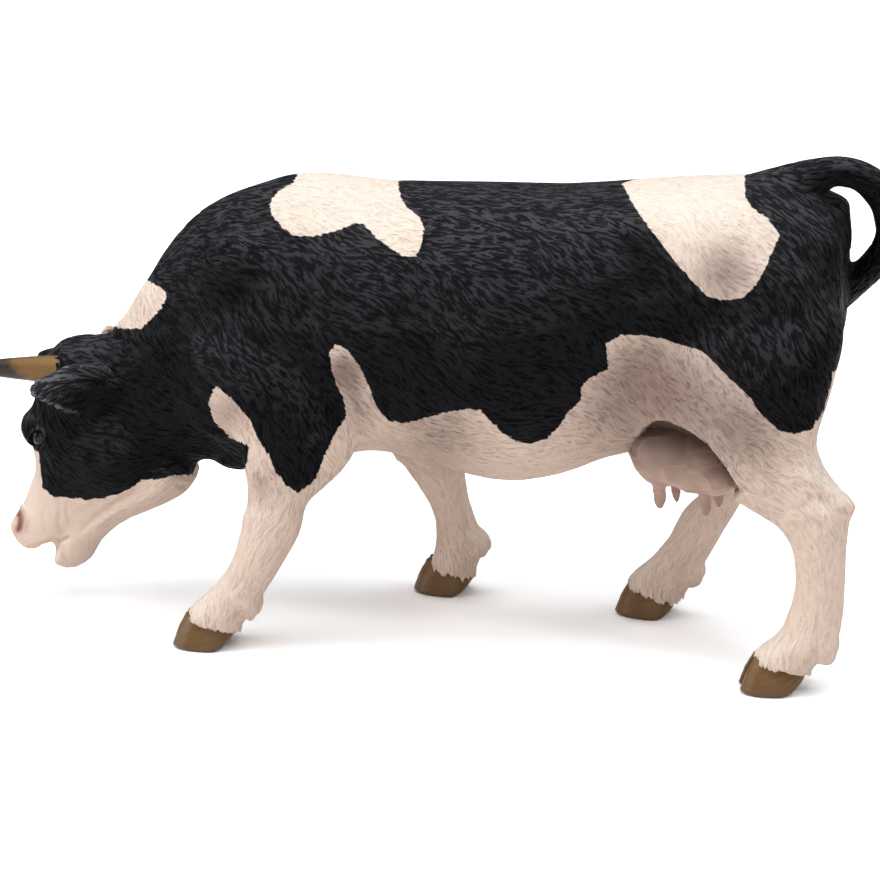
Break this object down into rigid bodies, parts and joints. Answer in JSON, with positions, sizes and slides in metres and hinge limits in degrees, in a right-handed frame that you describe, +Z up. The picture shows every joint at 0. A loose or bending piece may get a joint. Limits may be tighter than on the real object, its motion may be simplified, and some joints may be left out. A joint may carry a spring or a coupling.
{
  "type": "toy cow figure",
  "caption": "Small horned dairy cow figure that grazes with its head low: hand-painted moulded plastic with a black and white coat, for pretend farm play.",
  "frame": {"origin": "on the floor, under the centre of the figure's box", "axes": "+X towards the tail, +Y towards the cow's right side, +Z up; the head points to -X"},
  "size_m": [0.1498, 0.0446, 0.0794],
  "materials": {
    "coat_black": "hand-painted satin black over moulded hair, dry-brushed grey on the ridges",
    "coat_white": "hand-painted satin cream white over moulded hair, with a warm grey wash in the grooves",
    "udder_pink": "hand-painted greyish pink with a brown wash",
    "hoof_brown": "hand-painted horn brown, darker at the sole",
    "horn_ochre": "hand-painted ochre with a dark grey-brown tip"
  },
  "bodies": {
    "root": {"torso": "coat_black", "head": "coat_black", "lower_jaw": "coat_white", "ear_left": "coat_black", "ear_right": "coat_black", "horn_left": "horn_ochre", "horn_right": "horn_ochre", "foreleg_left": "coat_white", "foreleg_right": "coat_white", "hind_leg_left": "coat_white", "hind_leg_right": "coat_white", "hoof_front_left": "hoof_brown", "hoof_front_right": "hoof_brown", "hoof_hind_left": "hoof_brown", "hoof_hind_right": "hoof_brown", "udder": "udder_pink", "tail": "coat_black"}
  },
  "joints": []
}
